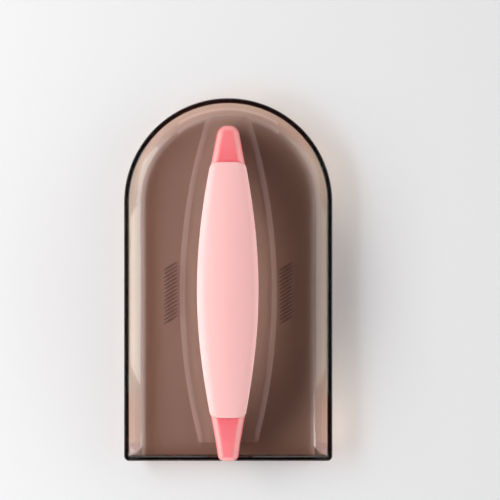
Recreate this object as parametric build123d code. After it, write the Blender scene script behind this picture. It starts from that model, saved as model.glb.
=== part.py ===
from build123d import *
from math import cos, pi, radians, sqrt, tan
import os

# An icing smoother: a clear tray, flat below, and an arched handle that stands along its middle.
# Sizes are in millimetres. The smoothing face lies on Z = 0, the round end points along +Y and the
# square end along -Y, and the handle's long axis lies over X = 0.

# Tray, one moulding of even wall
tray_length = 145.0
tray_width = 83.2
tray_height = 10.0
floor_thickness = 3.0
wall = 2.0
lip_width = 7.6
lip_angle = 40.0
fold_radius = 3.0
rim_foot_radius = 5.0
brim_radius = 1.2
corner_radius = 2.0
rim_bevel = 0.5
end_chamfer = 1.8
end_fillet_radius = 5.0

# Plinth, the lens-shaped step under the handle
plinth_height = 0.8
plinth_half_width = 19.7
plinth_arc_radius = 235.0
plinth_bevel = 2.2

# Posts on the plinth, which the handle's feet are pushed over
post_length = 8.0
post_width = 5.0
post_height = 7.0
post_place_share = 0.58
post_clearance = 0.15

# Handle, outline seen from above
far_tip_gap = 11.0
belly_half_width = 11.8
belly_shift = 1.5
tip_half_width = 4.0
far_taper_share = 1.2
near_taper_share = 1.4
far_tip_corner = 3.2
near_tip_corner = 2.2
tip_steps = 4
body_steps = 20

# Handle, profile seen from the side
crown_height = 38.0
tip_height = 13.0
gap_height = 24.0
foot_length = 15.0
edge_round = 3.4
tip_round = 2.0
edge_limit_share = 0.9
bare_crown_share = 0.03
flare_width = 2.2
flare_height = 1.2

# Frame and the strip that closes it below
frame_wall = 2.0
cover_thickness = 1.8
cover_shoulder = 1.2
cover_clearance = 0.15
tongue_height = 2.5
tongue_wall = 1.0
rib_thickness = 1.5
rib_shares = (-0.3, 0.3)
boss_radius = 3.2
peg_radius = 1.5
peg_height = 5.0
peg_shares = (-0.55, 0.55)

# Soft grip, moulded over the frame between two seams
far_end_length = 15.0
near_end_length = 18.1
grip_thickness = 1.6
grip_proud = 0.25
grip_skirt = 3.0
grip_belly_round = 5.0
grip_end_round = 3.6
grip_crown = 1.3
grip_end_crown = 0.2
grip_steps = 18
seat_bevel = 2.4
key_length = 6.0
key_width = 2.4
key_shares = (-0.82, -0.15, 0.15, 0.82)

# Every cut runs past the face that it leaves by this much
overrun = 5.0

# Places that follow from the sizes above
half_width = tray_width / 2
half_length = tray_length / 2
arch_place = half_length - half_width
fold_place = half_width - lip_width
plinth_top = floor_thickness + plinth_height
far_tip = half_length - far_tip_gap
near_tip = -half_length
handle_middle = (far_tip + near_tip) / 2
handle_half_length = (far_tip - near_tip) / 2
belly_place = handle_middle + belly_shift
far_seam_place = far_tip - far_end_length
near_seam_place = near_tip + near_end_length
posts = (near_tip + foot_length * post_place_share, far_tip - foot_length * post_place_share)


def arc_radius(half_chord, rise):
    """Radius of the arc that rises this far over a chord."""
    return (half_chord**2 + rise**2) / (2 * rise)


# The arch's two arcs share the handle's middle: one over its crown, one under it over the finger gap
top_radius = arc_radius(handle_half_length, crown_height - tip_height)
top_centre = crown_height - top_radius
under_radius = arc_radius(handle_half_length - foot_length, gap_height - plinth_top)
under_centre = gap_height - under_radius


def top_at(place):
    """Height of the handle's crown line at a place along Y."""
    return top_centre + sqrt(top_radius**2 - (place - handle_middle) ** 2)


def half_width_at(place):
    """Half width of the handle at a place along Y: a lens that eases into slim ends."""
    reach, power = (far_tip - belly_place, far_taper_share)
    if place < belly_place:
        reach, power = (belly_place - near_tip, near_taper_share)
    share = min(abs(place - belly_place) / reach, 1)
    return tip_half_width + (belly_half_width - tip_half_width) * (1 - share**2) ** power


def post_shape(place, clearance):
    """One handle post on the plinth, or with a clearance the pocket that it fits."""
    length = post_length + 2 * clearance
    width = post_width + 2 * clearance
    outline = SlotOverall(length, width, rotation=90)
    return extrude(Pos(0, place, plinth_top) * outline, post_height + clearance)


# The lip rises from the fold at a steady slope, and its wall is taller than it is thick
lip_slope = tan(radians(lip_angle))
lip_rise = wall / cos(radians(lip_angle))


def lip_height(place):
    """Height of the lip's underside at a distance from the tray's middle, before it is rounded."""
    return (place - fold_place) * lip_slope


def tray_section(inner):
    """Half of the tray's section: the floor, the upswept lip and the rim, or filled to the rim."""
    foot = (half_width, lip_height(half_width))
    rim = (half_width, tray_height)
    rounds = (fold_radius, rim_foot_radius)
    edge = FilletPolyline((0, 0), (fold_place, 0), foot, rim, radius=rounds)
    if not inner:
        edge += Polyline(rim, (0, tray_height), (0, 0))
        return make_face(edge)
    inside = half_width - wall
    brim = (inside, lip_height(inside) + lip_rise)
    fold = (fold_place + (floor_thickness - lip_rise) / lip_slope, floor_thickness)
    bends = (brim_radius, fold_radius)
    edge += FilletPolyline((inside, tray_height), brim, fold, (0, floor_thickness), radius=bends)
    edge += Line(rim, (inside, tray_height)) + Line((0, floor_thickness), (0, 0))
    return make_face(edge)


def turned_tray(inner):
    """Both straight sides and the half turn round the arch, hollow or filled to the rim."""
    arch_plane = Plane.XZ.offset(-arch_place)
    section = arch_plane * tray_section(inner)
    sides = extrude(section, arch_place + half_length)
    sides += mirror(sides, Plane.YZ)
    return sides + revolve(section, Axis((0, arch_place, 0), (0, 0, 1)), 180)


def make_tray_shell(filled):
    """The open tray: the turned lip, a square wall chamfered below, and two rounded corners."""
    end_wall = Pos(0, (wall - tray_length) / 2) * Box(tray_width, wall, 2 * tray_height)
    shell = turned_tray(inner=True) + (end_wall & filled)
    run_length = arch_place + half_length
    corners = Pos(0, arch_place - run_length / 2) * Rectangle(tray_width, run_length)
    corners = fillet(corners.vertices().group_by(Axis.Y)[0], corner_radius)
    corners += Pos(0, arch_place) * Circle(half_width)
    foot = [(end_chamfer - half_length, 0), (-half_length, end_chamfer), (-half_length, tray_height)]
    side = Plane.YZ * make_face(Polyline(*foot, (half_length, tray_height), (half_length, 0), close=True))
    return shell & extrude(corners, tray_height) & extrude(side, half_width, both=True)


def make_plinth():
    """The lens where two wide cones cross, cut off inside the lip and inside the square wall."""
    offset = plinth_arc_radius - plinth_half_width
    cone = Cone(plinth_arc_radius, plinth_arc_radius - plinth_bevel, plinth_height)
    height = floor_thickness + plinth_height / 2
    lens = Pos(offset, handle_middle, height) * cone & Pos(-offset, handle_middle, height) * cone
    # The plinth ends half way through the lip's wall, where the lip passes the plinth's own height
    reach = fold_place + (height - lip_rise / 2) / lip_slope
    near_end = wall / 2 - half_length
    depth = arch_place - near_end
    area = Pos(0, arch_place) * Circle(reach)
    area += Pos(0, arch_place - depth / 2) * Rectangle(2 * reach, depth)
    return lens & extrude(Pos(0, 0, floor_thickness) * area, plinth_height)


def make_end_fillet(filled):
    """The thick round fillet between the floor and the square wall, which runs out in the lips."""
    corner = Plane.YZ * Pos(wall - half_length, floor_thickness)
    square = corner * Rectangle(end_fillet_radius, end_fillet_radius, align=(Align.MIN, Align.MIN))
    hollow = corner * Pos(end_fillet_radius, end_fillet_radius) * Circle(end_fillet_radius)
    # Its ends lie inside the lip's wall, over the point where the lip passes the fillet's top
    top = floor_thickness + end_fillet_radius
    reach = fold_place + (top - lip_rise / 2) / lip_slope
    return extrude(square - hollow, reach, both=True) & filled


def make_base_plate():
    filled = turned_tray(inner=False)
    tray = make_tray_shell(filled)
    rim = tray.edges().filter_by_position(Axis.Z, tray_height, tray_height)
    tray = chamfer(rim, rim_bevel)
    tray += make_plinth()
    tray += make_end_fillet(filled)
    for place in posts:
        tray += post_shape(place, 0)
    return tray


def handle_section(place, side, top, crown, corner):
    """A section across the handle: straight sides, a crowned top and rounded corners."""
    brow = top - crown
    edge = Polyline((side, brow), (side, plinth_top), (-side, plinth_top), (-side, brow))
    edge += ThreePointArc((-side, brow), (0, top), (side, brow))
    section = make_face(edge)
    section = fillet(section.vertices().group_by(Axis.Y)[-1], corner)
    return Plane.XZ.offset(-place) * section


def eased(gap, corner):
    """How far a round corner draws in at this distance from the end that it rounds."""
    reach = max(corner - gap, 0)
    return corner - sqrt(corner**2 - reach**2)


def frame_section(place):
    """The frame's outer section at a place along Y, drawn in round the handle's two tips."""
    gap, corner = (far_tip - place, far_tip_corner)
    if place < handle_middle:
        gap, corner = (place - near_tip, near_tip_corner)
    side = half_width_at(place) - eased(gap, corner)
    top = top_at(place) - eased(gap, tip_round)
    round_edge = min(edge_round, edge_limit_share * side)
    return handle_section(place, side, top, bare_crown_share * side, round_edge)


def frame_body():
    """The handle's whole outer body, lofted through sections that stand closest round its tips."""
    rises = [1 - cos(pi / 2 * step / tip_steps) for step in range(tip_steps)]
    start = near_tip + near_tip_corner
    span = far_tip - far_tip_corner - start
    places = [near_tip + near_tip_corner * rise for rise in rises]
    places += [start + span * step / body_steps for step in range(body_steps + 1)]
    places += [far_tip - far_tip_corner * rise for rise in reversed(rises)]
    return loft([frame_section(place) for place in places], ruled=True)


def core_plan(inset):
    """The handle's outline from above between the seams, drawn in by an inset, as a prism."""
    near = half_width_at(near_seam_place) - inset
    belly = belly_half_width - inset
    far = half_width_at(far_seam_place) - inset
    right = ThreePointArc((near, near_seam_place), (belly, belly_place), (far, far_seam_place))
    left = ThreePointArc((-far, far_seam_place), (-belly, belly_place), (-near, near_seam_place))
    tips = Line(right @ 1, left @ 0) + Line(left @ 1, right @ 0)
    return extrude(make_face(right + left + tips), crown_height + overrun)


def under_arch(rise):
    """All that lies below the arc of the finger gap, when the arc is raised by this much."""
    disc = Plane.YZ * Pos(handle_middle, under_centre) * Circle(under_radius + rise)
    return extrude(disc, belly_half_width + overrun, both=True)


def under_flares():
    """Two cones that bevel the finger gap's edges where the handle is widest."""
    place = belly_half_width - flare_width / 2
    cone = Cone(under_radius, under_radius + flare_height, flare_width)
    flare = Plane.YZ * Pos(handle_middle, under_centre, place) * cone
    return flare + mirror(flare, Plane.YZ)


def crown_disc(drop):
    """All that lies below the handle's crown line, when the line is lowered by this much."""
    disc = Plane.YZ * Pos(handle_middle, top_centre) * Circle(top_radius - drop)
    return extrude(disc, belly_half_width + overrun, both=True)


def seam_zone(inset):
    """The wedge between the two seams, square to the arch, with its ends drawn in by an inset."""
    hub = (handle_middle, top_centre)
    stretch = 1 + overrun / top_radius
    rays = []
    for place in (near_seam_place + inset, far_seam_place - inset):
        across = (place - handle_middle) * stretch
        rise = (top_at(place) - top_centre) * stretch
        rays.append((handle_middle + across, top_centre + rise))
    roof = crown_height + overrun
    corners = [hub, rays[0], (rays[0][0], roof), (rays[1][0], roof), rays[1]]
    wedge = make_face(Polyline(*corners, close=True))
    return extrude(Plane.YZ * wedge, belly_half_width + overrun, both=True)


def arch_band(low, high):
    """The curved layer that lies between two heights above the finger gap's arc."""
    return under_arch(high) - under_arch(low)


def seat_block():
    """The frame's core under the grip, with its long top edges bevelled."""
    core = (core_plan(grip_thickness) & crown_disc(grip_thickness) & seam_zone(0)) - under_arch(0)
    roof = core.faces().filter_by(GeomType.CYLINDER).sort_by(Axis.Z)[-1]
    return chamfer(roof.edges().sort_by(SortBy.LENGTH)[-2:], seat_bevel)


def channel(inset):
    """The frame's hollow, which the cover closes, drawn in by a further inset."""
    skin = grip_thickness + frame_wall
    hollow = core_plan(skin + inset) & crown_disc(skin) & seam_zone(frame_wall + inset)
    return hollow - under_arch(0)


def cover_plate(inset):
    """The strip that closes the hollow, or without an inset the rebate that it lies in."""
    lip = frame_wall - cover_shoulder
    strip = arch_band(0, cover_thickness)
    return core_plan(grip_thickness + lip + inset) & strip & seam_zone(lip + inset)


def upright_bars(radius):
    """Round bars where the cover is pegged to the frame."""
    bar = Cylinder(radius, crown_height, align=(Align.CENTER, Align.CENTER, Align.MIN))
    reach = handle_half_length - foot_length
    return [Pos(0, handle_middle + share * reach) * bar for share in peg_shares]


def grip_keys(seat):
    """The soft grip's studs, which fill slots through the frame's roof."""
    span = (far_seam_place - near_seam_place) / 2
    middle = (far_seam_place + near_seam_place) / 2
    slot = extrude(SlotOverall(key_length, key_width, rotation=90), crown_height)
    roof = seat - crown_disc(grip_thickness + frame_wall)
    return [Pos(0, middle + share * span) * slot & roof for share in key_shares]


def make_handle_frame(seat, keys):
    """Both feet and bare ends, the skirt under the grip, and the hollow core that carries it."""
    frame = frame_body() - under_arch(0) - under_flares()
    frame -= seam_zone(0) - under_arch(grip_skirt) - seat
    frame -= channel(0)
    frame -= cover_plate(0)
    # Ribs stop above the cover's tongue, and bosses stop just above the cover itself
    hollow = channel(0)
    rib_area = hollow - under_arch(cover_thickness + tongue_height + cover_clearance)
    boss_area = hollow - under_arch(cover_thickness + cover_clearance)
    peg_area = hollow & under_arch(cover_thickness + peg_height + cover_clearance)
    reach = handle_half_length - foot_length
    for share in rib_shares:
        place = handle_middle + share * reach
        slab = Pos(0, place, crown_height / 2) * Box(2 * belly_half_width, rib_thickness, crown_height)
        frame += slab & rib_area
    for bar, hole in zip(upright_bars(boss_radius), upright_bars(peg_radius + cover_clearance)):
        frame += bar & boss_area
        frame -= hole & peg_area
    for key in keys:
        frame -= key
    for place in posts:
        frame -= post_shape(place, post_clearance)
    # The near foot is cut away over the tray's wall and over the fillet beside it
    fillet_reach = end_fillet_radius - sqrt((2 * end_fillet_radius - plinth_height) * plinth_height)
    notch_length = wall + fillet_reach + post_clearance
    notch = Box(2 * belly_half_width, 2 * notch_length, 2 * tray_height)
    return frame - Pos(0, near_tip) * notch


def make_handle_cover():
    """The closing strip, with a tongue round its edge and pegs for the frame's bosses."""
    cover = cover_plate(cover_clearance)
    tongue_band = arch_band(cover_thickness / 2, cover_thickness + tongue_height)
    ring = channel(cover_clearance) - channel(cover_clearance + tongue_wall)
    cover += ring & tongue_band
    peg_band = arch_band(cover_thickness / 2, cover_thickness + peg_height)
    for bar in upright_bars(peg_radius):
        cover += bar & peg_band
    return cover


def grip_section(place):
    """The grip's outer section at a place along Y: crowned, with rounder corners at the belly."""
    middle = (far_seam_place + near_seam_place) / 2
    share = (place - middle) / (far_seam_place - middle)
    belly = 1 - share**2
    corner = grip_end_round + (grip_belly_round - grip_end_round) * belly
    crown = grip_end_crown + (grip_crown - grip_end_crown) * belly
    side = half_width_at(place) + grip_proud
    return handle_section(place, side, top_at(place) + grip_proud, crown, corner)


def make_soft_grip(seat, keys):
    """The soft skin between the seams, moulded on the frame's core and into its slots."""
    start = near_seam_place - grip_thickness
    span = far_seam_place + grip_thickness - start
    places = [start + span * step / grip_steps for step in range(grip_steps + 1)]
    skin = loft([grip_section(place) for place in places], ruled=True)
    grip = (skin & seam_zone(0)) - under_arch(grip_skirt) - seat
    for key in keys:
        grip += key
    return grip


core = seat_block()
studs = grip_keys(core)
pieces = {
    "base_plate": make_base_plate(),
    "handle_frame": make_handle_frame(core, studs),
    "handle_cover": make_handle_cover(),
    "soft_grip": make_soft_grip(core, studs),
}
os.makedirs("parts", exist_ok=True)
for name, piece in pieces.items():
    export_step(piece, f"parts/{name}.step")
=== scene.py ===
# %% [markdown]
# An icing smoother, dressed for the camera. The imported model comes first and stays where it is: a clear
# smoke-brown tray, a coral handle frame with its cover, and a soft pink grip. Every later cell adds
# finish or finer surfaces round that frame, in metres, in the same place.

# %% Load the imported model
import math

import bmesh
import bpy
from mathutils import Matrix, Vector


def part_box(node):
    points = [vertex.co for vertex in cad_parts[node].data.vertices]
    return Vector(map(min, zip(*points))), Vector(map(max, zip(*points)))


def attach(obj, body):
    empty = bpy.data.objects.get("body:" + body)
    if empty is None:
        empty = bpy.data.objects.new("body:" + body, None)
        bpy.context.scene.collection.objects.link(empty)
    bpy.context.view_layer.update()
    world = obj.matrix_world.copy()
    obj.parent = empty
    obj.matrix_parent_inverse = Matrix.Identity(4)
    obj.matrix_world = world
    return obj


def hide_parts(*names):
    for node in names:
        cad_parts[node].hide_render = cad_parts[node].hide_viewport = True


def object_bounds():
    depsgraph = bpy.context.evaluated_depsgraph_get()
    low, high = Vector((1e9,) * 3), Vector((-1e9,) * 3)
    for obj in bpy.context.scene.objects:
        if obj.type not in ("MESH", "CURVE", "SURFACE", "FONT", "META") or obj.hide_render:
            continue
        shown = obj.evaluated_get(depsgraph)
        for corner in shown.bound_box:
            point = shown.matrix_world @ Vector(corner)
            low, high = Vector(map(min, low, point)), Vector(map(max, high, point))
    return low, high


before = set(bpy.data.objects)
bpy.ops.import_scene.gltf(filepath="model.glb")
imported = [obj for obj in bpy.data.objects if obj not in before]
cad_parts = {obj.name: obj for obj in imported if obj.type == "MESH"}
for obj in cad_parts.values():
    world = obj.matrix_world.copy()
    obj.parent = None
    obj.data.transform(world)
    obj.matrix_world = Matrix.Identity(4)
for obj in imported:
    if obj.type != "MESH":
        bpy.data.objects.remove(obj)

MM = 0.001
cad_low, cad_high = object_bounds()
print("model box in mm:", [round(side / MM, 2) for side in cad_high - cad_low])

# %% [markdown]
# The photograph looks straight down. A long lens from 1.1 m keeps the handle from swelling towards the
# camera. Its focal length follows from the tray's known width, which covers 208 pixels: that is 2.5
# pixels for each millimetre at the rim, 9 mm above the floor.

# %% Camera
PHOTO_SIDE = 500
SENSOR_WIDTH = 36.0
VIEW_HEIGHT = 1100 * MM
PIXELS_PER_MM = 2.5
RIM_DISTANCE_IN_MM = 1091
VIEW_CENTRE = (8.72 * MM, 11.82 * MM)

scene = bpy.context.scene
camera_data = bpy.data.cameras.new("photo_camera")
camera_data.sensor_width = SENSOR_WIDTH
camera_data.lens = PIXELS_PER_MM * RIM_DISTANCE_IN_MM / PHOTO_SIDE * SENSOR_WIDTH
camera = bpy.data.objects.new("photo_camera", camera_data)
camera.location = (VIEW_CENTRE[0], VIEW_CENTRE[1], VIEW_HEIGHT)
scene.collection.objects.link(camera)
scene.camera = camera
print("lens in mm:", round(camera_data.lens, 1))

# %% [markdown]
# Colours are written as sRGB hex values, as a paint chart gives them, and one function turns them into
# the linear values that the shader wants. One more function adds a node, sets it and links it. None of
# the plastics is evenly smooth: another function varies their roughness over a real width.

# %% Colour and node helpers
def linear(code):
    """The linear colour of an sRGB hex value such as #F27D80."""
    channels = [int(code[place:place + 2], 16) / 255 for place in (1, 3, 5)]
    return tuple(c / 12.92 if c <= 0.04045 else ((c + 0.055) / 1.055) ** 2.4 for c in channels) + (1.0,)


def add_node(tree, kind, inputs=None, **settings):
    """A new node, with its settings made and each input set to a value or linked from a socket."""
    node = tree.nodes.new(kind)
    for name, value in settings.items():
        setattr(node, name, value)
    for name, value in (inputs or {}).items():
        if isinstance(value, bpy.types.NodeSocket):
            tree.links.new(value, node.inputs[name])
        else:
            node.inputs[name].default_value = value
    return node


def new_material(name):
    """An empty node material, with its tree."""
    material = bpy.data.materials.new(name)
    material.use_nodes = True
    material.node_tree.nodes.clear()
    return material, material.node_tree


def surface_grain(tree, width, detail, rough_range):
    """A noise as coarse as the real grain is wide, and the roughness that goes up and down with it."""
    place = add_node(tree, "ShaderNodeTexCoord").outputs["Object"]
    grain = add_node(tree, "ShaderNodeTexNoise", {"Vector": place, "Scale": 1 / width, "Detail": detail})
    rough = add_node(tree, "ShaderNodeMapRange", {
        "Value": grain.outputs["Fac"], "To Min": rough_range[0], "To Max": rough_range[1]})
    return grain.outputs["Fac"], rough.outputs["Result"]


print("mid grey #808080 in linear light:", round(linear("#808080")[0], 3))

# %% [markdown]
# The tray is styrene acrylonitrile (SAN), injection moulded in a polished tool and tinted smoke brown.
# Its surface is smooth, so it mirrors the lamps sharply. The tint is split in two. A volume that absorbs
# works by length: the rim, where light is caught between the faces, turns dark. A tint where light
# enters and leaves adds the rest, in four zones. The floor has the common tint. The lip has a lighter one,
# painted light for the light that gets under the lip to the floor below. The plinth has none, painted
# light that makes it read lighter than the floor round it. The top edge of the square end wall is painted
# dark, a painted shade for how it looks seen end on. One deep volume alone would be simpler, but it can't
# be dark on the floor and pale on the lip at once.

# %% Tint of the tray, with painted light and painted shade by zone
FLOOR_TINT = "#DACFCA"
# Painted light: the lip's lighter tint stands in for the light that gets under the lip to the floor below.
LIP_PAINTED_LIGHT_TINT = "#EADFD0"
# Painted light: the plinth is left untinted so that it reads lighter than the floor round it.
PLINTH_PAINTED_LIGHT = "#FFFFFF"
# Painted shade: the top edge of the end wall is painted dark, as it looks seen end on.
END_EDGE_PAINTED_SHADE = "#5A5553"
FLOOR_TOP = 3.0 * MM
PLINTH_TOP = 3.8 * MM
PLINTH_REACH = 20.3 * MM
RIB_RISE = 0.45 * MM
SKIN = 0.05 * MM
END_WALL_PLACE = cad_low.y + 2.0 * MM
COVE_PLACE = cad_low.y + 7.0 * MM
BEYOND = 1
# Zones of painted light on the lip and the plinth, and of painted shade on the end wall's top edge, laid
# over the floor's tint.
PAINTED_LIGHT_AND_SHADE_ZONES = (
    (LIP_PAINTED_LIGHT_TINT, (("Y", COVE_PLACE, BEYOND), ("Z", FLOOR_TOP + RIB_RISE, BEYOND))),
    (PLINTH_PAINTED_LIGHT, (("X", -PLINTH_REACH, PLINTH_REACH), ("Y", COVE_PLACE, BEYOND),
                   ("Z", FLOOR_TOP + SKIN, PLINTH_TOP + SKIN))),
    (END_EDGE_PAINTED_SHADE, (("Y", -BEYOND, END_WALL_PLACE), ("up", 0.5, 2))),
)
print("tint zones over the floor's own:", len(PAINTED_LIGHT_AND_SHADE_ZONES))


def tint_with_painted_zones(tree, place):
    """The floor's surface tint, with the zones of painted light and painted shade laid over it. A zone
    lies between limits of the place or of the normal's height.
    """
    axes = dict(zip("XYZ", add_node(tree, "ShaderNodeSeparateXYZ", {"Vector": place}).outputs))
    turn = add_node(tree, "ShaderNodeTexCoord").outputs["Normal"]
    axes["up"] = add_node(tree, "ShaderNodeSeparateXYZ", {"Vector": turn}).outputs["Z"]
    tint = linear(FLOOR_TINT)
    for colour, limits in PAINTED_LIGHT_AND_SHADE_ZONES:
        share = 1.0
        for axis, low, high in limits:
            inside = add_node(tree, "ShaderNodeMath", {
                0: axes[axis], 1: (low + high) / 2, 2: (high - low) / 2}, operation="COMPARE").outputs[0]
            share = add_node(tree, "ShaderNodeMath", {
                0: share, 1: inside}, operation="MULTIPLY").outputs[0]
        tint = add_node(tree, "ShaderNodeMixRGB", {0: share, 1: tint, 2: linear(colour)}).outputs[0]
    return tint


# %% [markdown]
# Glass stops the light of lamps, so shadow rays meet a clear surface instead. They pass two faces, and
# each of them has the square root of the tint. Slow waves of 9 mm in the roughness stand for the flow of
# the plastic in its mould.

# %% Smoke plastic of the tray
SAN_IOR = 1.57
VOLUME_TINT = "#C59C82"
VOLUME_DENSITY = 180.0
FLOW_WIDTH = 9 * MM
POLISH = (0.02, 0.05)


def make_smoke_plastic():
    """Clear tinted plastic: glass with a tint, painted light and painted shade by zone, over a volume that
    absorbs.
    """
    material, tree = new_material("smoke_san_polished_moulding")
    place = add_node(tree, "ShaderNodeTexCoord").outputs["Object"]
    rough = surface_grain(tree, FLOW_WIDTH, 2.0, POLISH)[1]
    # The tint carries painted light on the lip and the plinth and painted shade on the end wall's top
    # edge.
    tint = tint_with_painted_zones(tree, place)
    root = add_node(tree, "ShaderNodeGamma", {"Color": tint, "Gamma": 0.5}).outputs[0]
    plastic = add_node(tree, "ShaderNodeBsdfPrincipled", {
        "Base Color": tint, "Roughness": rough, "IOR": SAN_IOR, "Transmission Weight": 1.0})
    clear = add_node(tree, "ShaderNodeBsdfTransparent", {"Color": root})
    path = add_node(tree, "ShaderNodeLightPath")
    surface = add_node(tree, "ShaderNodeMixShader", {0: path.outputs["Is Shadow Ray"]})
    tree.links.new(plastic.outputs[0], surface.inputs[1])
    tree.links.new(clear.outputs[0], surface.inputs[2])
    depth = add_node(tree, "ShaderNodeVolumeAbsorption", {
        "Color": linear(VOLUME_TINT), "Density": VOLUME_DENSITY})
    add_node(tree, "ShaderNodeOutputMaterial", {"Surface": surface.outputs[0], "Volume": depth.outputs[0]})
    return material


smoke_plastic = make_smoke_plastic()
print("material:", smoke_plastic.name, "nodes", len(smoke_plastic.node_tree.nodes))

# %% [markdown]
# The frame and its cover are ABS in coral, from a tool with a fine spark-eroded texture under a thin
# gloss. Highlights spread over a few millimetres. The rounded edges carry a painted highlight: they are
# painted paler than the flats and the upright sides. The colour follows how far the surface turns,
# sideways or towards an end, and only where it faces up.

# %% Coral plastic of the handle frame
CORAL = "#FA6E76"
# Painted highlight: the paler colour that the rounded edges take where they turn away and face up.
CORAL_PAINTED_HIGHLIGHT = "#FFA5A2"
SIDE_HIGHLIGHT_TURNS = ((0.12, 0.5), (0.95, 0.8))
END_HIGHLIGHT_TURNS = ((0.62, 0.82), (0.99, 0.92))
HIGHLIGHT_FACING_UP = (0.35, 0.55)
SPARK_GRAIN = 0.35 * MM
SATIN = (0.36, 0.46)
GRAIN_DEPTH = 0.02 * MM
ABS_IOR = 1.53


def painted_highlight_share(tree, amount, turns):
    """The share of painted highlight: one where a surface has begun to turn away, and zero where it lies
    flat or stands upright.
    """
    size = add_node(tree, "ShaderNodeMath", {0: amount}, operation="ABSOLUTE").outputs[0]
    share = 1.0
    for start, full in turns:
        step = add_node(tree, "ShaderNodeMapRange", {
            "Value": size, "From Min": start, "From Max": full}, interpolation_type="SMOOTHSTEP")
        share = add_node(tree, "ShaderNodeMath", {
            0: share, 1: step.outputs["Result"]}, operation="MULTIPLY").outputs[0]
    return share


def make_coral_plastic():
    """Rigid coral plastic: a fine grain under a thin gloss, with a painted highlight where an edge turns
    away.
    """
    material, tree = new_material("coral_abs_spark_eroded_satin")
    grain, rough = surface_grain(tree, SPARK_GRAIN, 3.0, SATIN)
    bump = add_node(tree, "ShaderNodeBump", {"Height": grain, "Strength": 0.12, "Distance": GRAIN_DEPTH})
    turn = add_node(tree, "ShaderNodeTexCoord").outputs["Normal"]
    facing = add_node(tree, "ShaderNodeSeparateXYZ", {"Vector": turn}).outputs
    side = painted_highlight_share(tree, facing["X"], SIDE_HIGHLIGHT_TURNS)
    end = painted_highlight_share(tree, facing["Y"], END_HIGHLIGHT_TURNS)
    above = add_node(tree, "ShaderNodeMapRange", {
        "Value": facing["Z"], "From Min": HIGHLIGHT_FACING_UP[0], "From Max": HIGHLIGHT_FACING_UP[1]},
        interpolation_type="SMOOTHSTEP")
    edge = add_node(tree, "ShaderNodeMath", {0: side, 1: end}, operation="MAXIMUM").outputs[0]
    edge = add_node(tree, "ShaderNodeMath", {
        0: edge, 1: above.outputs["Result"]}, operation="MULTIPLY").outputs[0]
    # Painted highlight mixed into the coral where the edges turn away and face up.
    colour = add_node(tree, "ShaderNodeMixRGB", {
        0: edge, 1: linear(CORAL), 2: linear(CORAL_PAINTED_HIGHLIGHT)}).outputs[0]
    plastic = add_node(tree, "ShaderNodeBsdfPrincipled", {
        "Base Color": colour, "Roughness": rough, "IOR": ABS_IOR,
        "Coat Weight": 0.6, "Coat Roughness": 0.2, "Sheen Weight": 0.35, "Sheen Roughness": 0.35,
        "Normal": bump.outputs["Normal"], "Subsurface Weight": 0.15, "Subsurface Scale": 1.5 * MM})
    plastic.inputs["Subsurface Radius"].default_value = (1.0, 0.3, 0.25)
    add_node(tree, "ShaderNodeOutputMaterial", {"Surface": plastic.outputs[0]})
    return material


coral_plastic = make_coral_plastic()
print("material:", coral_plastic.name, "nodes", len(coral_plastic.node_tree.nodes))

# %% [markdown]
# The grip is a thermoplastic elastomer (TPE), moulded over the frame. It is soft and matt, with a faint
# velvet edge where the surface turns away. A real nap of hairs would be far too heavy for that, and
# sheen gives the same look in one number.

# %% Pink elastomer of the grip
PINK = "#FFC0BE"
TOUCH_GRAIN = 0.5 * MM
SOFT_MATT = (0.55, 0.66)
TPE_IOR = 1.48


def make_pink_elastomer():
    """Soft pink rubber: matt, a little grainy, with light scattered under its surface."""
    material, tree = new_material("pink_tpe_soft_touch")
    grain, rough = surface_grain(tree, TOUCH_GRAIN, 2.0, SOFT_MATT)
    bump = add_node(tree, "ShaderNodeBump", {"Height": grain, "Strength": 0.1, "Distance": GRAIN_DEPTH})
    rubber = add_node(tree, "ShaderNodeBsdfPrincipled", {
        "Base Color": linear(PINK), "Roughness": rough, "IOR": TPE_IOR,
        "Normal": bump.outputs["Normal"], "Subsurface Weight": 0.2, "Subsurface Scale": 2 * MM,
        "Sheen Weight": 0.3, "Sheen Roughness": 0.5})
    rubber.inputs["Subsurface Radius"].default_value = (1.0, 0.45, 0.4)
    add_node(tree, "ShaderNodeOutputMaterial", {"Surface": rubber.outputs[0]})
    return material


pink_elastomer = make_pink_elastomer()
print("material:", pink_elastomer.name, "nodes", len(pink_elastomer.node_tree.nodes))

# %% [markdown]
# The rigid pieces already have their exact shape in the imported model, but as loose triangles. A merged
# copy of each shades as one skin. On the coral pieces the edges that turn by more than a small angle
# stay sharp, and the rest are smooth. The normals of the clear tray also bend what shows through it, so
# its copy keeps the model's own ones. They are eased in two places, the cove along the end wall and the
# plinth's far end. There the sloping underside would throw the bent rays back into the plastic, and the
# tray would look black from above.

# %% Ease the cove along the end wall
LIP_SLOPE_DEGREES = 40
FOLD_PLACE = 34.5 * MM
COVE_TOP = 9.3 * MM
UPPER_SIDE = 0.05
print("cove up to y in mm:", round(COVE_PLACE / MM, 1), "lips from x:", round(FOLD_PLACE / MM, 1))


def ease_cove(mesh, normals):
    """Let the cove along the end wall shade like the floor or the lip that it grows from."""
    slope = math.radians(LIP_SLOPE_DEGREES)
    for face in mesh.polygons:
        if face.center.y > COVE_PLACE or face.normal.z < UPPER_SIDE or face.center.z > COVE_TOP:
            continue
        lean = math.sin(slope) if abs(face.center.x) > FOLD_PLACE else 0
        eased = Vector((-math.copysign(lean, face.center.x), 0, math.sqrt(1 - lean**2)))
        for corner in face.loop_indices:
            normals[corner] = eased


# %% [markdown]
# The plinth is a flat band with a narrow bevel round it, and its far end runs into the lip. A cut 2 mm
# before that end gives the easing a clean line to start from.

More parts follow.
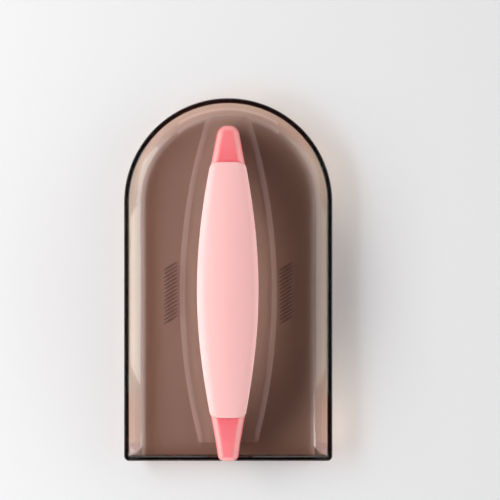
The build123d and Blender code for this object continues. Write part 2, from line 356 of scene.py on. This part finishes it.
# %% Ease the plinth's far end
MERGE_GAP = 0.002 * MM
END_STRIP = 2.0 * MM
NEARLY_LEVEL = 0.9
LEAST_OUTWARD = -0.01
KEPT_NORMALS = "kept_normals"
print("strip at the plinth's end in mm:", round(END_STRIP / MM, 1))


def on_plinth(face):
    """Whether a face lies on the plinth's top or on the bevel round it."""
    middle = face.calc_center_median()
    outward = math.copysign(face.normal.x, face.normal.x * middle.x)
    raised = FLOOR_TOP + MERGE_GAP < middle.z < PLINTH_TOP + MERGE_GAP
    return raised and face.normal.z > NEARLY_LEVEL and outward > LEAST_OUTWARD


def ease_plinth_end(shell):
    """Cut a strip off the plinth's far end, and let it lean like the lip that it runs into."""
    layer = shell.loops.layers.float_vector[KEPT_NORMALS]
    plinth = [face for face in shell.faces if on_plinth(face)]
    edges = {edge for face in plinth for edge in face.edges}
    verts = {vert for face in plinth for vert in face.verts}
    end = max(vert.co.y for vert in verts)
    bmesh.ops.bisect_plane(
        shell, geom=[*plinth, *edges, *verts], plane_co=(0, end - END_STRIP, 0), plane_no=(0, 1, 0))
    lean = Vector((0, -math.tan(math.radians(LIP_SLOPE_DEGREES / 2)), 0))
    leaning = 0
    for face in shell.faces:
        if on_plinth(face) and face.calc_center_median().y > end - END_STRIP:
            for loop in face.loops:
                if loop.vert.co.y > end - END_STRIP + MERGE_GAP:
                    loop[layer] = (loop[layer] + lean).normalized()
                    leaning += 1
    print("corners eased at the plinth's far end", leaning, "at", round(end / MM, 2), "mm")


# %% [markdown]
# Merging hardly moves a point, but it loses the normals. So each corner's normal waits in an attribute
# while the points are merged, and the tray takes it back afterwards. The coral copies get new normals,
# evened out by the size of the faces.

# %% Merged copies of the rigid pieces
CORAL_SHARP_DEGREES = 30


def make_skin(node, name, material, sharp_degrees=None):
    """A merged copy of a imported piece, which stands for it. Without an angle it keeps true normals."""
    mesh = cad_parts[node].data.copy()
    mesh.name = name
    mesh.materials.clear()
    mesh.materials.append(material)
    kept = mesh.attributes.new(KEPT_NORMALS, "FLOAT_VECTOR", "CORNER")
    for place, corner in zip(kept.data, mesh.corner_normals):
        place.vector = corner.vector
    shell = bmesh.new()
    shell.from_mesh(mesh)
    bmesh.ops.remove_doubles(shell, verts=shell.verts, dist=MERGE_GAP)
    if sharp_degrees is None:
        ease_plinth_end(shell)
    for face in shell.faces:
        face.smooth = True
        face.material_index = 0
    open_edges = sum(1 for edge in shell.edges if len(edge.link_faces) != 2)
    shell.to_mesh(mesh)
    shell.free()
    if sharp_degrees is None:
        true_normals = [place.vector.copy() for place in mesh.attributes[KEPT_NORMALS].data]
        ease_cove(mesh, true_normals)
        mesh.normals_split_custom_set(true_normals)
    else:
        mesh.set_sharp_from_angle(angle=math.radians(sharp_degrees))
    mesh.attributes.remove(mesh.attributes[KEPT_NORMALS])
    piece = bpy.data.objects.new(name, mesh)
    scene.collection.objects.link(piece)
    if sharp_degrees is not None:
        weights = piece.modifiers.new("even_normals", "WEIGHTED_NORMAL")
        weights.keep_sharp = True
    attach(piece, "root")
    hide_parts(node)
    print(name, "faces", len(mesh.polygons), "open edges", open_edges)


make_skin("base_plate", "tray", smoke_plastic)
make_skin("handle_frame", "coral_frame", coral_plastic, CORAL_SHARP_DEGREES)
make_skin("handle_cover", "coral_cover", coral_plastic, CORAL_SHARP_DEGREES)

# %% [markdown]
# The soft grip follows a rule, so its skin is worked out ring by ring. Each ring stands square to the
# arch: from the lower seam up a straight side, round a corner, over a crowned top and down again. The
# inside is the same ring drawn in by the skin's thickness, so the piece is closed. A shape pulled about
# by hand would touch the frame here and leave it there. Drawn from the same arcs, the skin fits it.

# %% The grip's rule
frame_low, frame_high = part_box("handle_frame")
HANDLE_MIDDLE = (frame_low.y + frame_high.y) / 2
HANDLE_HALF_LENGTH = (frame_high.y - frame_low.y) / 2
CROWN_HEIGHT = 38 * MM
TIP_HEIGHT = 13 * MM
GAP_HEIGHT = 24 * MM
FOOT_LENGTH = 15 * MM
BELLY_PLACE = HANDLE_MIDDLE + 1.5 * MM
BELLY_HALF_WIDTH = 11.8 * MM
TIP_HALF_WIDTH = 4 * MM
NEAR_TAPER = 1.4
FAR_TAPER = 1.2


def arc_radius(half_chord, rise):
    """Radius of the arc that rises this far over a chord."""
    return (half_chord**2 + rise**2) / (2 * rise)


TOP_RADIUS = arc_radius(HANDLE_HALF_LENGTH, CROWN_HEIGHT - TIP_HEIGHT)
TOP_CENTRE = CROWN_HEIGHT - TOP_RADIUS
UNDER_RADIUS = arc_radius(HANDLE_HALF_LENGTH - FOOT_LENGTH, GAP_HEIGHT - PLINTH_TOP)
UNDER_CENTRE = GAP_HEIGHT - UNDER_RADIUS


def half_width_at(place):
    """Half width of the handle at a place along Y: a lens that eases into slim ends."""
    if place < BELLY_PLACE:
        reach, power = BELLY_PLACE - (HANDLE_MIDDLE - HANDLE_HALF_LENGTH), NEAR_TAPER
    else:
        reach, power = HANDLE_MIDDLE + HANDLE_HALF_LENGTH - BELLY_PLACE, FAR_TAPER
    share = min(abs(place - BELLY_PLACE) / reach, 1)
    return TIP_HALF_WIDTH + (BELLY_HALF_WIDTH - TIP_HALF_WIDTH) * (1 - share**2) ** power


print("arch radii in mm:", round(TOP_RADIUS / MM, 1), round(UNDER_RADIUS / MM, 1))

# %% The grip's sizes
FAR_SEAM = HANDLE_MIDDLE + HANDLE_HALF_LENGTH - 15 * MM
NEAR_SEAM = HANDLE_MIDDLE - HANDLE_HALF_LENGTH + 18.1 * MM
GRIP_PROUD = 0.25 * MM
GRIP_THICKNESS = 1.6 * MM
GRIP_SKIRT = 3 * MM
GRIP_CORNER = (3.6 * MM, 5.0 * MM)
GRIP_CROWN = (0.6 * MM, 2.8 * MM)
LEAST_CORNER = 0.6 * MM
EDGE_ROLL = 0.35 * MM
ROLL_STEP = 0.3
GRIP_SHARP_DEGREES = 50
SIDE_STEPS = 8
CORNER_STEPS = 10
CROWN_STEPS = 8
RING_COUNT = 120
print("grip from", round(NEAR_SEAM / MM, 1), "to", round(FAR_SEAM / MM, 1), "mm")


# %% One ring of the grip
def grip_half_ring(turn, belly, inset):
    """Points (across, out) of half a ring from the lower seam to the crown, drawn in by an inset."""
    fall = UNDER_CENTRE - TOP_CENTRE
    low_radius = UNDER_RADIUS + GRIP_SKIRT
    low = fall * math.cos(turn) + math.sqrt(low_radius**2 - (fall * math.sin(turn)) ** 2)
    top = TOP_RADIUS + GRIP_PROUD - inset
    side = half_width_at(HANDLE_MIDDLE + TOP_RADIUS * math.sin(turn)) + GRIP_PROUD - inset
    corner = max(GRIP_CORNER[0] + (GRIP_CORNER[1] - GRIP_CORNER[0]) * belly - inset, LEAST_CORNER)
    crown = GRIP_CROWN[0] + (GRIP_CROWN[1] - GRIP_CROWN[0]) * belly
    crown_radius = arc_radius(side, crown)
    crown_centre = top - crown_radius
    corner_out = crown_centre + math.sqrt((crown_radius - corner) ** 2 - (side - corner) ** 2)
    lean = math.atan2(corner_out - crown_centre, side - corner)
    points = []
    for step in range(SIDE_STEPS):
        points.append((side, low + (corner_out - low) * step / SIDE_STEPS))
    for step in range(CORNER_STEPS):
        angle = lean * step / CORNER_STEPS
        points.append((side - corner + corner * math.cos(angle), corner_out + corner * math.sin(angle)))
    for step in range(CROWN_STEPS + 1):
        angle = lean + (math.pi / 2 - lean) * step / CROWN_STEPS
        points.append((crown_radius * math.cos(angle), crown_centre + crown_radius * math.sin(angle)))
    return points


def grip_ring(turn, belly, inset):
    """A whole U of points in the model's frame, from the right lower seam over the top to the left one."""
    base = half_width_at(HANDLE_MIDDLE + TOP_RADIUS * math.sin(turn))
    points = []
    for across, out in grip_half_ring(turn, belly, inset):
        place = HANDLE_MIDDLE + out * math.sin(turn)
        spread = across * half_width_at(place) / base
        points.append(Vector((spread, place, TOP_CENTRE + out * math.cos(turn))))
    left = [Vector((-p.x, p.y, p.z)) for p in reversed(points[:-1])]
    return points + left


print("points on one ring:", len(grip_ring(0, 1, 0)))

# %% [markdown]
# The rings are joined face by face into one shell. The first and the last few draw in a little, like the
# rolled edge that a soft moulding has where it meets the hard plastic.

# %% The grip's closed skin
def make_soft_grip():
    """The grip's closed skin: rings from the near seam to the far one, with a rolled edge at each."""
    near_turn = math.asin((NEAR_SEAM - HANDLE_MIDDLE) / TOP_RADIUS)
    far_turn = math.asin((FAR_SEAM - HANDLE_MIDDLE) / TOP_RADIUS)
    roll = EDGE_ROLL / TOP_RADIUS
    turns = [near_turn, near_turn + roll * ROLL_STEP, near_turn + roll]
    span = far_turn - near_turn - 2 * roll
    turns += [near_turn + roll + span * step / RING_COUNT for step in range(1, RING_COUNT)]
    turns += [far_turn - roll, far_turn - roll * ROLL_STEP, far_turn]
    middle = (near_turn + far_turn) / 2
    shell = bmesh.new()
    loops = []
    for turn in turns:
        belly = max(1 - ((turn - middle) / (far_turn - middle)) ** 2, 0)
        gap = min(turn - near_turn, far_turn - turn, roll) / roll
        dip = EDGE_ROLL * (1 - math.sqrt(max(1 - (1 - gap) ** 2, 0)))
        outer = grip_ring(turn, belly, dip)
        inner = grip_ring(turn, belly, GRIP_THICKNESS)
        loops.append([shell.verts.new(p) for p in outer + list(reversed(inner))])
    count = len(loops[0])
    for first, second in zip(loops, loops[1:]):
        for place in range(count):
            after = (place + 1) % count
            shell.faces.new((first[place], first[after], second[after], second[place]))
    for loop in (loops[0], loops[-1]):
        for place in range(count // 2 - 1):
            shell.faces.new((loop[place], loop[place + 1], loop[-place - 2], loop[-place - 1]))
    bmesh.ops.recalc_face_normals(shell, faces=shell.faces)
    for face in shell.faces:
        face.smooth = True
    mesh = bpy.data.meshes.new("grip_skin")
    shell.to_mesh(mesh)
    shell.free()
    mesh.materials.append(pink_elastomer)
    mesh.set_sharp_from_angle(angle=math.radians(GRIP_SHARP_DEGREES))
    piece = bpy.data.objects.new("grip_skin", mesh)
    scene.collection.objects.link(piece)
    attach(piece, "root")
    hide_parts("soft_grip")
    print("grip faces", len(mesh.polygons))


make_soft_grip()

# %% [markdown]
# Two fine patches beside the handle are part of the moulding: rows of low slanted ribs that stand a
# quarter of a millimetre over the floor. They repeat by rule, so Geometry Nodes lays them out: one
# grain-shaped rib on every point of a grid with two columns, made real at the end.

# %% Rib patches
RIB_SEGMENTS = 20
RIB_RINGS = 8
RIB_INPUTS = (
    ("Column Spacing", "NodeSocketFloat", 46.6 * MM),
    ("Run", "NodeSocketFloat", 21.5 * MM),
    ("Ribs", "NodeSocketInt", 15),
    ("Rib Size", "NodeSocketVector", (6.5 * MM, 1.0 * MM, 0.5 * MM)),
    ("Slant", "NodeSocketVector", (0, 0, math.radians(32))),
    ("Place", "NodeSocketVector", (0, HANDLE_MIDDLE, FLOOR_TOP)),
    ("Plastic", "NodeSocketMaterial", smoke_plastic),
)


def make_rib_tree():
    """The rule: a rib on each point of a two-column grid, moved to its place on the tray's floor."""
    tree = bpy.data.node_groups.new("slanted_ribs", "GeometryNodeTree")
    for name, kind, value in RIB_INPUTS:
        tree.interface.new_socket(name=name, in_out="INPUT", socket_type=kind)
    tree.interface.new_socket(name="Geometry", in_out="OUTPUT", socket_type="NodeSocketGeometry")
    given = add_node(tree, "NodeGroupInput").outputs
    grid = add_node(tree, "GeometryNodeMeshGrid", {
        "Size X": given["Column Spacing"], "Size Y": given["Run"],
        "Vertices X": 2, "Vertices Y": given["Ribs"]})
    grain = add_node(tree, "GeometryNodeMeshUVSphere", {
        "Segments": RIB_SEGMENTS, "Rings": RIB_RINGS, "Radius": 0.5})
    smooth = add_node(tree, "GeometryNodeSetShadeSmooth", {"Geometry": grain.outputs["Mesh"]})
    rib = add_node(tree, "GeometryNodeTransform", {
        "Geometry": smooth.outputs["Geometry"], "Scale": given["Rib Size"]})
    spread = add_node(tree, "GeometryNodeInstanceOnPoints", {
        "Points": grid.outputs["Mesh"], "Instance": rib.outputs["Geometry"], "Rotation": given["Slant"]})
    placed = add_node(tree, "GeometryNodeTransform", {
        "Geometry": spread.outputs["Instances"], "Translation": given["Place"]})
    real = add_node(tree, "GeometryNodeRealizeInstances", {"Geometry": placed.outputs["Geometry"]})
    finish = add_node(tree, "GeometryNodeSetMaterial", {
        "Geometry": real.outputs["Geometry"], "Material": given["Plastic"]})
    add_node(tree, "NodeGroupOutput", {"Geometry": finish.outputs["Geometry"]})
    return tree


def make_side_ribs():
    """Both patches of ribs as one plain mesh. The rule is worked out once, and its modifier goes."""
    piece = bpy.data.objects.new("side_ribs", bpy.data.meshes.new("side_ribs"))
    scene.collection.objects.link(piece)
    layout = piece.modifiers.new("slanted_ribs", "NODES")
    layout.node_group = make_rib_tree()
    values = {name: value for name, kind, value in RIB_INPUTS}
    for item in layout.node_group.interface.items_tree:
        if item.in_out == "INPUT":
            layout[item.identifier] = values[item.name]
    laid_out = piece.evaluated_get(bpy.context.evaluated_depsgraph_get())
    mesh = bpy.data.meshes.new_from_object(laid_out)
    mesh.materials.clear()
    mesh.materials.append(smoke_plastic)
    piece.modifiers.clear()
    piece.data = mesh
    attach(piece, "root")
    print("rib faces", len(mesh.polygons), "material", mesh.materials[0].name)


make_side_ribs()

# %% [markdown]
# The tool lies on a plain pale floor, a hair below the smoothing face, so that the two never share a
# plane. One large square does for that, since the camera sees no edge of it.

# %% Floor
FLOOR_SIDE = 3.0
FLOOR_DROP = 0.2 * MM
FLOOR_PAINT = "#EDEDEE"
FLOOR_ROUGHNESS = 0.7


def make_floor():
    """A large flat square, which is scenery and no piece of the tool."""
    material, tree = new_material("plain_pale_floor")
    paint = add_node(tree, "ShaderNodeBsdfPrincipled", {
        "Base Color": linear(FLOOR_PAINT), "Roughness": FLOOR_ROUGHNESS})
    add_node(tree, "ShaderNodeOutputMaterial", {"Surface": paint.outputs[0]})
    mesh = bpy.data.meshes.new("floor")
    half = FLOOR_SIDE / 2
    corners = [(-half, -half, 0), (half, -half, 0), (half, half, 0), (-half, half, 0)]
    mesh.from_pydata(corners, [], [(0, 1, 2, 3)])
    mesh.materials.append(material)
    floor = bpy.data.objects.new("floor", mesh)
    floor.location.z = -FLOOR_DROP
    scene.collection.objects.link(floor)
    print("floor side in m:", FLOOR_SIDE, "drop in mm:", round(FLOOR_DROP / MM, 1))


make_floor()

# %% [markdown]
# Clear plastic shows its shape by what it mirrors, so the lamps are long and soft. One stands on the left
# with a weaker panel above it, and two weak fills stand on the right. All of them point at the middle of
# the tray.

# %% Lamps
LAMP_AIM = Vector((0, 0, 0))
LAMPS = (
    ("soft_key_left", (-0.72, -0.02, 0.52), (1.3, 0.28), 8.7),
    ("high_panel_left", (-0.56, 0.06, 0.68), (1.3, 0.3), 1.2),
    ("high_fill_right", (0.60, 0.0, 0.50), (0.5, 0.5), 0.5),
    ("low_fill_right", (0.80, 0.0, 0.32), (1.2, 0.3), 2.5),
)


def make_lamp(name, place, size, power):
    """A soft rectangular lamp, with its place and size in metres and its power in watts."""
    lamp = bpy.data.lights.new(name, "AREA")
    lamp.shape = "RECTANGLE"
    lamp.size, lamp.size_y = size
    lamp.energy = power
    holder = bpy.data.objects.new(name, lamp)
    holder.location = place
    holder.rotation_euler = (LAMP_AIM - Vector(place)).to_track_quat("-Z", "Y").to_euler()
    scene.collection.objects.link(holder)


for lamp_name, lamp_place, lamp_size, lamp_power in LAMPS:
    make_lamp(lamp_name, lamp_place, lamp_size, lamp_power)
print("lamps:", len(LAMPS), "with", round(sum(lamp[3] for lamp in LAMPS), 1), "watts in all")

# %% [markdown]
# A pale tent stands all round, as for a photograph of glass: its walls are bright near the floor and dim
# higher up. Overhead it is dark, because a bright roof would lie on the flat floor of the tray as a veil.

# %% Light tent
TENT_STRENGTH = 1.15
TENT_LEVELS = ((0.0, 1.22), (0.2, 1.38), (0.42, 0.24), (1.0, 0.04))


def make_room():
    """The world as a light tent. A level is how bright the tent is at the height of a direction."""
    room = bpy.data.worlds.new("light_tent")
    room.use_nodes = True
    tree = room.node_tree
    tree.nodes.clear()
    way = add_node(tree, "ShaderNodeTexCoord").outputs["Generated"]
    height = add_node(tree, "ShaderNodeSeparateXYZ", {"Vector": way}).outputs["Z"]
    level = add_node(tree, "ShaderNodeValToRGB", {"Fac": height})
    level.color_ramp.interpolation = "EASE"
    stops = level.color_ramp.elements
    while len(stops) < len(TENT_LEVELS):
        stops.new(1.0)
    for stop, (place, share) in zip(stops, TENT_LEVELS):
        stop.position = place
        stop.color = (share, share, share, 1)
    glow = add_node(tree, "ShaderNodeBackground", {
        "Color": level.outputs["Color"], "Strength": TENT_STRENGTH})
    add_node(tree, "ShaderNodeOutputWorld", {"Surface": glow.outputs[0]})
    return room


scene.world = make_room()
print("tent levels from floor to roof:", [share for height, share in TENT_LEVELS])

# %% [markdown]
# The picture is kept plain: the Standard view shows each colour about as it is written.

# %% View
scene.view_settings.view_transform = "Standard"
